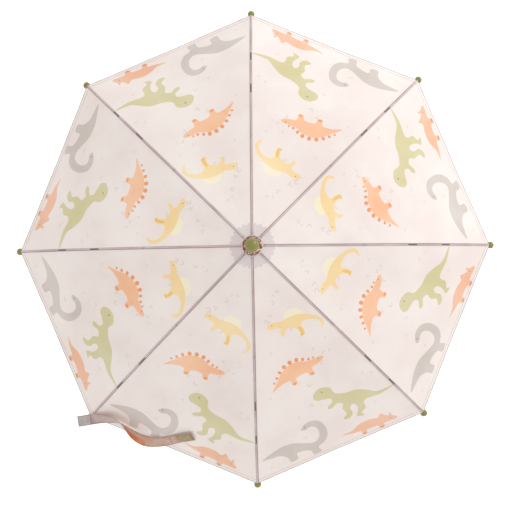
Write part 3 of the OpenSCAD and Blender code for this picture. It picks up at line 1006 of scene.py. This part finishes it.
@dataclass
class Seams:
    """Felled seams over the ribs, the rolled hem and the thread that ties cloth to ribs."""

    curve: RibCurve
    palette: Palette
    width: float = 4.4 * MM
    height: float = 0.55 * MM
    stitch: float = 3.2 * MM
    hem_depth: float = 8 * MM
    tied_at: tuple[float, ...] = (74 * MM, 130 * MM, 213 * MM)
    roll: tuple[float, float] = (0.65 * MM, 0.55 * MM)
    stitch_half: float = 0.22 * MM
    tack_half: float = 7 * MM
    tack_lift: float = 0.35 * MM
    tie_half: float = 1.9 * MM
    tie_lift: float = 2.15 * MM

    def build(self) -> list[bpy.types.Object]:
        """Make the seams, hems and ties of every rib."""
        curve = self.curve
        made = []
        for rib in range(1, RIBS + 1):
            made.append(self.seam(rib, "arm", 5 * MM, curve.arm_l))
            made.append(self.seam(rib, "end", curve.arm_l, curve.end))
            made.append(self.hem(rib))
            made.append(self.ties(rib))
        return made

    def seam(self, rib: int, part: str, low: float, high: float) -> bpy.types.Object:
        """Make a felled seam along a rib, with a dark line of painted shade along its fold, its stitches and
        its bar tacks.
        """
        curve = self.curve
        top = curve.gap + curve.cloth
        half = self.width / 2
        section = ((-1, 0.02), (-0.8, 0.6), (-0.2, 0.65), (0.3, 0.75), (0.62, 1.0), (1, 0.02))
        steps = max(8, round((high - low) / (7 * MM)))
        heap = Heap()
        rings = []
        for n in range(steps + 1):
            down = low + (high - low) * n / steps
            ring = [curve.on_cloth(down, half * x, top + self.height * lift) for x, lift in section]
            rings.append(ring + [curve.on_cloth(down, x, top - 0.1 * MM) for x in (half, -half)])
        heap.add(*loft(rings))
        # Painted shade: a thin dark strip along the drop of the fold, in the crease slot, stands in for the
        # fold's shadow.
        thick = Vector((0, 0, 0.12 * MM))
        fold_shade_strips = []
        for ring in rings:
            fold, step = ring[4], ring[5] - ring[4]
            over, under = ([fold + step * s + lift for s in (-0.3, 0.5)] for lift in (thick, -thick))
            fold_shade_strips.append(over + under[::-1])
        heap.add(*loft(fold_shade_strips), 2)
        for n in range(int((high - low) / self.stitch)):
            ends = (low + self.stitch * (n + 0.15), low + self.stitch * (n + 0.8))
            heap.add(*self.stitch_bar(*ends, -half * 0.55, top + self.height * 0.85), 1)
        if part == "end":
            for ahead in self.tied_at[:-1]:
                heap.add(*self.tack(curve.arm_l + ahead, top + self.height * 0.9), 3)
        look = self.palette
        thing = make_closed(f"seam_{part}_{rib}", heap, rib, [look.seam, look.thread, look.crease, look.tack])
        ride_rib(thing, rib, part)
        return thing

    def stitch_bar(self, a: float, b: float, x: float, off: float) -> Mesh:
        """Draw one stitch as a small raised bar."""
        thick = self.stitch_half
        corners = ((-1, -0.6), (1, -0.6), (0.7, 1), (-0.7, 1))
        return self.curve.bar([
            [(down, x + thick * dx, off + thick * swell * lift) for dx, lift in corners]
            for down, swell in ((a, 0.4), ((a + b) / 2, 1.0), (b, 0.4))
        ])

    def tack(self, middle: float, off: float) -> Mesh:
        """Draw a bar tack where the rib is tied under the seam."""
        rows = []
        for n in range(7):
            down = middle + self.tack_half * (n / 3 - 1)
            swell = self.tack_lift * math.sin(math.pi * (n + 0.5) / 7)
            corners = ((-1.3, 0), (1.3, 0), (0.9, swell), (-0.9, swell))
            rows.append([(down, x * MM, off + lift) for x, lift in corners])
        return self.curve.bar(rows)

    def hem(self, rib: int) -> bpy.types.Object:
        """Make the rolled edge and the folded band of the hem on both sides of a rib."""
        curve = self.curve
        heap = Heap()
        end, steps = curve.end, 16
        out, up = self.roll
        folds = ((0.0, 0.35 * MM), (self.hem_depth, 0.35 * MM), (self.hem_depth, 0.75 * MM), (0.0, 0.75 * MM))
        wide = curve.half_width(end) * 0.999
        for side in (-1, 1):
            roll, band = [], []
            for n in range(steps + 1):
                x = side * (0.6 * MM + (wide - 0.6 * MM) * n / steps)
                base = curve.face(end, x) - 0.1 * MM
                roll.append([(end + out * math.cos(a), x, base + up * math.sin(a)) for a in circle(8)])
                band.append([(end - back, x, curve.face(end - back, x) - drop) for back, drop in folds])
            heap.add(*curve.bar(roll), 1)
            heap.add(*curve.bar(band), 0)
            for n in range(int(curve.half_width(end) / self.stitch) - 1):
                heap.add(*self.hem_stitch(end - 6.4 * MM, side, self.stitch * (n + 0.9)), 2)
        look = self.palette
        thing = make_closed(f"hem_{rib}", heap, rib, [look.mist, look.edge, look.thread])
        ride_rib(thing, rib, "end")
        return thing

    def hem_stitch(self, down: float, side: int, from_rib: float) -> Mesh:
        """Draw one stitch of the hem on the canopy's face."""
        corners = ((-0.2, 0), (0.2, 0), (0.14, 0.2), (-0.14, 0.2))
        rows = []
        for x in (side * (from_rib + self.stitch * share) for share in (0.0, 0.6)):
            off = self.curve.face(down, x)
            rows.append([(down + across * MM, x, off + lift * MM) for across, lift in corners])
        return self.curve.bar(rows)

    def ties(self, rib: int) -> bpy.types.Object:
        """Make the thread loops that hold the cloth to the curved part of a rib."""
        curve = self.curve
        heap = Heap()
        thick = 0.28 * MM
        for middle in (curve.arm_l + ahead for ahead in self.tied_at):
            for turn in (-0.6, 0.0, 0.6):
                rings = []
                for a in circle(20):
                    across, lift = self.tie_half * math.cos(a), 0.35 * MM + self.tie_lift * math.sin(a)
                    ring = []
                    for b in circle(6):
                        reach = thick * math.sin(b)
                        place = curve.on_cloth(middle + turn * MM + thick * math.cos(b), 0.0, 0.0)
                        y, z = across + reach * math.cos(a), lift + reach * math.sin(a)
                        ring.append(place + Vector((0, y, z)))
                    rings.append(ring)
                heap.add(*loft(rings, looped=True))
        thing = make_closed(f"rib_ties_{rib}", heap, rib, [self.palette.thread])
        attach(thing, f"rib_end_{rib}")
        return thing


# ---------------------------------------------------------------- rosette and strap


@dataclass
class Rosette:
    """Two gathered frills of printed cloth under the top cap."""

    curve: RibCurve
    palette: Palette
    outer: float = 15.5 * MM
    inner: float = 4.3 * MM
    cloth: float = 0.25 * MM

    def build(self) -> list[bpy.types.Object]:
        """Make the outer frill and the small collar on it."""
        wide = self.frill("rosette_frill", self.outer, 0.0, 2.2 * MM, 17, 3)
        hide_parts("rosette")
        small = self.frill("rosette_collar", self.outer * 0.8, 1.1 * MM, 1.8 * MM, 13, 5)
        return [wide, small]

    def frill(
        self, name: str, outer: float, lift: float, wave: float, folds: int, seed: int
    ) -> bpy.types.Object:
        """Make one ruffled disc with a pinked edge, its folds in the colours of the print.

        Args:
            name: Name of the object.
            outer: Radius of the edge.
            lift: Height over the canopy.
            wave: Height of the largest fold.
            folds: Number of folds round the disc.
            seed: Seed of the folds' sizes and colours.

        Returns:
            The frill, riding on the stick.
        """
        curve = self.curve
        dice = random.Random(seed)
        swell = [dice.uniform(0.45, 1.0) for _ in range(folds)]
        tint = [dice.choice((0, 0, 0, 1, 1, 2)) for _ in range(2 * folds)]
        per_fold, across = 12, 7
        steps = folds * per_fold
        rings, marks = [], []
        base = curve.gap + curve.cloth + 0.55 * MM
        for k in range(steps):
            angle = math.tau * k / steps
            fold = k / per_fold
            size = swell[int(fold) % folds]
            swing = 0.5 - 0.5 * math.cos(math.tau * fold)
            reach = outer * (0.88 + 0.12 * size * swing) * (1 - 0.035 * (k % 2))
            row = []
            for n in range(across):
                share = n / (across - 1)
                radius = self.inner + (reach - self.inner) * share
                rise = (curve.pivot.x - radius) * math.tan(curve.slope)
                height = curve.pivot.z + base / math.cos(curve.slope) + rise
                turn = angle + 0.06 * share * math.sin(math.tau * fold)
                rise = lift + wave * size * share**1.5 * swing
                row.append(Vector((radius * math.cos(turn), radius * math.sin(turn), height + rise)))
            rings.append(row + [p - Vector((0, 0, self.cloth)) for p in reversed(row)])
            for n in range(2 * across):
                place = min(n, 2 * across - 2 - n) if n < 2 * across - 1 else 0
                edge = place >= across - 2
                marks.append(1 if edge and size > 0.6 else tint[int(2 * fold + place // 2) % (2 * folds)])
        points, faces = loft(rings, looped=True)
        thing = make_object(name, points, faces, self.palette.frill, marks)
        fix_normals(thing)
        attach(thing, "stick")
        return thing


@dataclass
class TieStrap:
    """Folded print band that ties the closed canopy, sewn on near the hem and lying over it."""

    curve: RibCurve
    palette: Palette
    width: float = 15.6 * MM
    thick: float = 1.0 * MM
    # knots: mm across and along from the end of rib 6's hem, mm above the canopy, roll in degrees
    route: tuple[tuple[float, float, float, float], ...] = (
        (152.6, -28.4, 1, 0), (139.6, -30.4, 1.05, 0), (126.6, -33.4, 1.2, 0), (110.6, -37.4, 3.6, 0),
        (94.6, -38.4, 8, 6), (78.6, -35.4, 11.5, 20), (65.6, -28.4, 13, 44), (55.6, -19.4, 13, 70),
        (46.6, -10.4, 12, 96), (36.6, -4.4, 10.8, 122), (25.6, -2.4, 9.6, 146), (13.6, -2.4, 8.8, 166),
        (1.6, -3.9, 8.2, 180), (-8.4, -5.4, 8, 180), (-18.4, -6.9, 7.8, 180),
    )
    beside: int = 5
    lies: int = 2
    level: int = 7
    pads: tuple[str, ...] = ("strap_hook_pad", "strap_loop_pad")

    def canopy_height(self, x: float, y: float) -> float:
        """Height of the canopy's face over a point of the plan, held level outside the hem."""
        curve = self.curve
        off = curve.gap + curve.cloth
        angle = math.atan2(y, x)
        lean = angle - round(angle / PITCH) * PITCH
        hem_r = curve.place(curve.end, curve.gap)[0]
        radius = min(hem_r, math.hypot(x, y) * (math.cos(lean) + abs(math.sin(lean)) * math.tan(HALF)))
        middle_r = curve.joint.x - curve.bend * math.sin(curve.slope)
        middle_z = curve.joint.z - curve.bend * math.cos(curve.slope)
        return middle_z + math.sqrt((curve.bend + off) ** 2 - (radius - middle_r) ** 2)

    def canopy_up(self, x: float, y: float) -> Vector:
        """Direction that the canopy's face looks in over a point of the plan."""
        step = MM
        fall_x = self.canopy_height(x - step, y) - self.canopy_height(x + step, y)
        fall_y = self.canopy_height(x, y - step) - self.canopy_height(x, y + step)
        return Vector((fall_x, fall_y, 2 * step)).normalized()

    def frames(self, between: int = 6) -> list[tuple[Vector, Vector, Vector, Vector]]:
        """Middle, way, side and up of the band at points along a smooth route."""
        hem_r, turn = self.curve.place(self.curve.end, self.curve.gap)[0], self.beside * PITCH
        corner = Vector((math.cos(turn), math.sin(turn), 0)) * hem_r
        middles = [corner + Vector((x, y, 0)) * MM for x, y, _, _ in self.route]
        for middle, (_, _, lift, _) in zip(middles, self.route):
            middle.z = self.canopy_height(middle.x, middle.y) + lift * MM
        found = []
        last = len(middles) - 1
        sides, ups = [], []
        for n, middle in enumerate(middles):
            way = (middles[min(n + 1, last)] - middles[max(n - 1, 0)]).normalized()
            free = max(0.0, min(1.0, (n - self.lies) / (self.level - self.lies)))
            lean = self.canopy_up(middle.x, middle.y) * (1 - free) + Vector((0, 0, free))
            side = lean.cross(way).normalized()
            up = way.cross(side)
            roll = math.radians(self.route[n][3])
            sides.append(side * math.cos(roll) + up * math.sin(roll))
            ups.append(up * math.cos(roll) - side * math.sin(roll))
        for n in range(last):
            for k in range(between + (n == last - 1)):
                s = k / between
                middle = spline(middles, n, s)
                ahead, back = (spline(middles, n, min(1.0, max(0.0, s + t))) for t in (0.05, -0.05))
                way = (ahead - back).normalized()
                up = spline(ups, n, s)
                side = spline(sides, n, s)
                side = (side - way * side.dot(way)).normalized()
                up = way.cross(side) if way.cross(side).dot(up) > 0 else side.cross(way)
                found.append((middle, way, side, up))
        return found

    def build(self) -> list[bpy.types.Object]:
        """Make the band, its stitching and the box of stitches at its sewn end."""
        frames = self.frames()
        heap = Heap()
        half, thick = self.width / 2, self.thick / 2
        across = (
            (-1.0, 0.0, 0), (-0.97, 0.8, 0), (-0.84, 1.0, 0), (-0.8, 0.75, 0), (0.0, 0.85, 0), (0.8, 0.75, 0),
            (0.84, 1.0, 0), (0.97, 0.8, 0), (1.0, 0.0, 1), (0.97, -0.8, 1), (0.84, -1.0, 1), (0.8, -0.75, 1),
            (0.0, -0.85, 1), (-0.8, -0.75, 1), (-0.84, -1.0, 1), (-0.97, -0.8, 1),
        )
        rings = [[m + side * half * x + up * thick * z for x, z, _ in across] for m, _, side, up in frames]
        heap.points, heap.faces = loft(rings)
        for n in range(len(heap.faces) - 2):
            x, _, face = across[n % len(across)]
            heap.marks.append(self.mark(n // len(across) / len(frames), x, face))
        heap.marks += [0, 0]
        for now, after in zip(frames, frames[1:]):
            for x in (-0.82, 0.82):
                for face in (1, -1):
                    heap.add(*self.thread_bar(now, after, x * half, face * thick * 0.9), 2)
        for n in (1, 2, 3, 4, 15, len(frames) - 17, len(frames) - 2):
            heap.add(*self.cross_bar(frames[n], half * 0.8), 2)
        look = self.palette
        slots = [look.band, look.band_back, look.tack, look.band_print]
        thing = make_closed("tie_strap_band", heap, 1, slots)
        ride_rib(thing, 7, "end")
        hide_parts("tie_strap")
        return [thing, *self.tapes()]

    @staticmethod
    def mark(along: float, x: float, face: int) -> int:
        """Slot of a strip of the band: the print shows on the outer half where the band turns."""
        if face:
            return 1
        return 3 if 0.33 < along < 0.54 and x > -0.1 else 0

    def tapes(self) -> list[bpy.types.Object]:
        """Make the hook and loop tapes in the places of their nodes."""
        made = []
        for name, material in zip(self.pads, (self.palette.hook, self.palette.loop)):
            thing = make_object(f"{name}_tape", [], [], [])
            thing.data = bpy.data.objects[name].data.copy()
            thing.data.materials.clear()
            thing.data.materials.append(material)
            thing.data.polygons.foreach_set("material_index", [0] * len(thing.data.polygons))
            soft = thing.modifiers.new("edge", "BEVEL")
            soft.width = 0.3 * MM
            soft.segments = 2
            apply_modifiers(thing)
            ride_rib(thing, 7, "end")
            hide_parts(name)
            made.append(thing)
        return made

    def thread_bar(self, a: tuple, b: tuple, x: float, lift: float) -> Mesh:
        """Draw one edge stitch between two points of the route."""
        wide = 0.22 * MM
        rings = []
        for s in (0.1, 0.7):
            middle, _, side, up = (one.lerp(two, s) for one, two in zip(a, b))
            rings.append([middle + side * (x + wide * dx) + up * (lift + wide * dz) for dx, dz in BOX])
        return loft(rings)

    def cross_bar(self, frame: tuple, half: float) -> Mesh:
        """Draw a row of stitches across the band."""
        middle, way, side, up = frame
        wide, lift = 0.3 * MM, self.thick / 2 * 0.85
        return loft([
            [middle + side * x + way * wide * dx + up * (lift + wide * dz) for dx, dz in BOX]
            for x in (-half, half)
        ])


# ---------------------------------------------------------------- stick, stage and camera


def dress_hardware(nodes: dict, palette: Palette) -> None:
    """Give every hard CAD part its finish.

    Args:
        nodes: The frame's objects by their CAD names.
        palette: The finishes.
    """
    look = dict.fromkeys(("handle", "top_cap", "rib_tip"), palette.olive)
    look |= dict.fromkeys(("crown", "runner"), palette.white)
    look |= dict.fromkeys(("rib_inner", "rib_outer", "stretcher"), palette.channel)
    for name, thing in nodes.items():
        stem = name.rsplit("_", 1)[0] if name[-1].isdigit() else name
        thing.data.materials.clear()
        thing.data.materials.append(look.get(stem, palette.tube))


@dataclass
class Studio:
    """Pale floor, soft light and the camera, nearly straight above the canopy."""

    frame_width: float = 0.7545
    distance: float = 2.2
    lean: float = math.radians(1.75)
    lean_way: tuple[float, float] = (0.66, -0.75)
    roll: float = math.radians(-0.8)
    aim: tuple[float, float] = (0.0008, -0.0098)

    def build(self, low: Vector, hem_z: float) -> None:
        """Make the floor, the lights and the camera."""
        self.floor(low.z - 0.002)
        self.camera(hem_z)
        self.light("key", (1.5, 1.2, 1.3), 1.2, 13.5, hem_z)
        self.light("fill", (-1.2, -0.8, 1.6), 1.8, 1.0, hem_z)
        self.light("low_fill", (0.6, -1.6, 0.25), 1.2, 1.5, hem_z)
        world = bpy.data.worlds.new("studio")
        bpy.context.scene.world = world
        world.use_nodes = True
        world.node_tree.nodes["Background"].inputs[0].default_value = (1.0, 1.0, 1.0, 1.0)
        world.node_tree.nodes["Background"].inputs[1].default_value = 0.84
        bpy.context.scene.view_settings.view_transform = "Standard"

    def floor(self, height: float) -> None:
        """Make the pale floor."""
        size = 4.0
        corners = [Vector((x * size, y * size, height)) for x, y in BOX]
        material = bpy.data.materials.new("pale_floor")
        material.use_nodes = True
        shader = material.node_tree.nodes["Principled BSDF"]
        shader.inputs["Base Color"].default_value = (0.93, 0.93, 0.93, 1.0)
        shader.inputs["Roughness"].default_value = 0.9
        shader.inputs["Emission Color"].default_value = (1.0, 1.0, 1.0, 1.0)
        shader.inputs["Emission Strength"].default_value = 0.42
        make_object("floor", corners, [(0, 1, 2, 3)], [material])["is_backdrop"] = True

    def light(self, name: str, place: tuple, size: float, power: float, height: float) -> None:
        """Add a soft area light that faces the canopy."""
        data = bpy.data.lights.new(name, "AREA")
        data.shape = "DISK"
        data.size = size
        data.energy = power
        lamp = bpy.data.objects.new(name, data)
        lamp.location = place
        lamp.rotation_euler = (Vector((0, 0, height)) - Vector(place)).to_track_quat("-Z", "Y").to_euler()
        bpy.context.scene.collection.objects.link(lamp)

    def camera(self, height: float) -> None:
        """Add the camera above the canopy, with +Y up in the picture."""
        data = bpy.data.cameras.new("camera")
        data.sensor_width = 36.0
        data.lens = data.sensor_width * self.distance / self.frame_width
        target = Vector((*self.aim, height))
        reach = self.distance * math.sin(self.lean)
        sideways = [way * reach for way in self.lean_way]
        place = target + Vector((*sideways, self.distance * math.cos(self.lean)))
        back = (place - target).normalized()
        right = Vector((0, 1, 0)).cross(back).normalized()
        up = back.cross(right)
        spin = Matrix((right, up, back)).transposed() @ Matrix.Rotation(self.roll, 3, "Z")
        lens = bpy.data.objects.new("camera", data)
        lens.matrix_world = Matrix.Translation(place) @ spin.to_4x4()
        bpy.context.scene.collection.objects.link(lens)
        bpy.context.scene.camera = lens


def main() -> None:
    """Build the umbrella around its frame."""
    logging.basicConfig(level=logging.INFO, format="%(message)s")
    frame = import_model()
    cad_low, cad_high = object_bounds()
    curve = RibCurve.from_frame(frame)
    Studio().build(cad_low, curve.place(curve.end, 0.0)[1])
    palette = Palette()
    dress_hardware(frame["nodes"], palette)
    for thing in (
        *Lining().build(curve, palette),
        *Canopy(curve, palette).build(),
        *Seams(curve, palette).build(),
        *Rosette(curve, palette).build(),
        *TieStrap(curve, palette).build(),
    ):
        LOG.info("%s: %d faces", thing.name, len(thing.data.polygons))


if __name__ == "__main__":
    main()
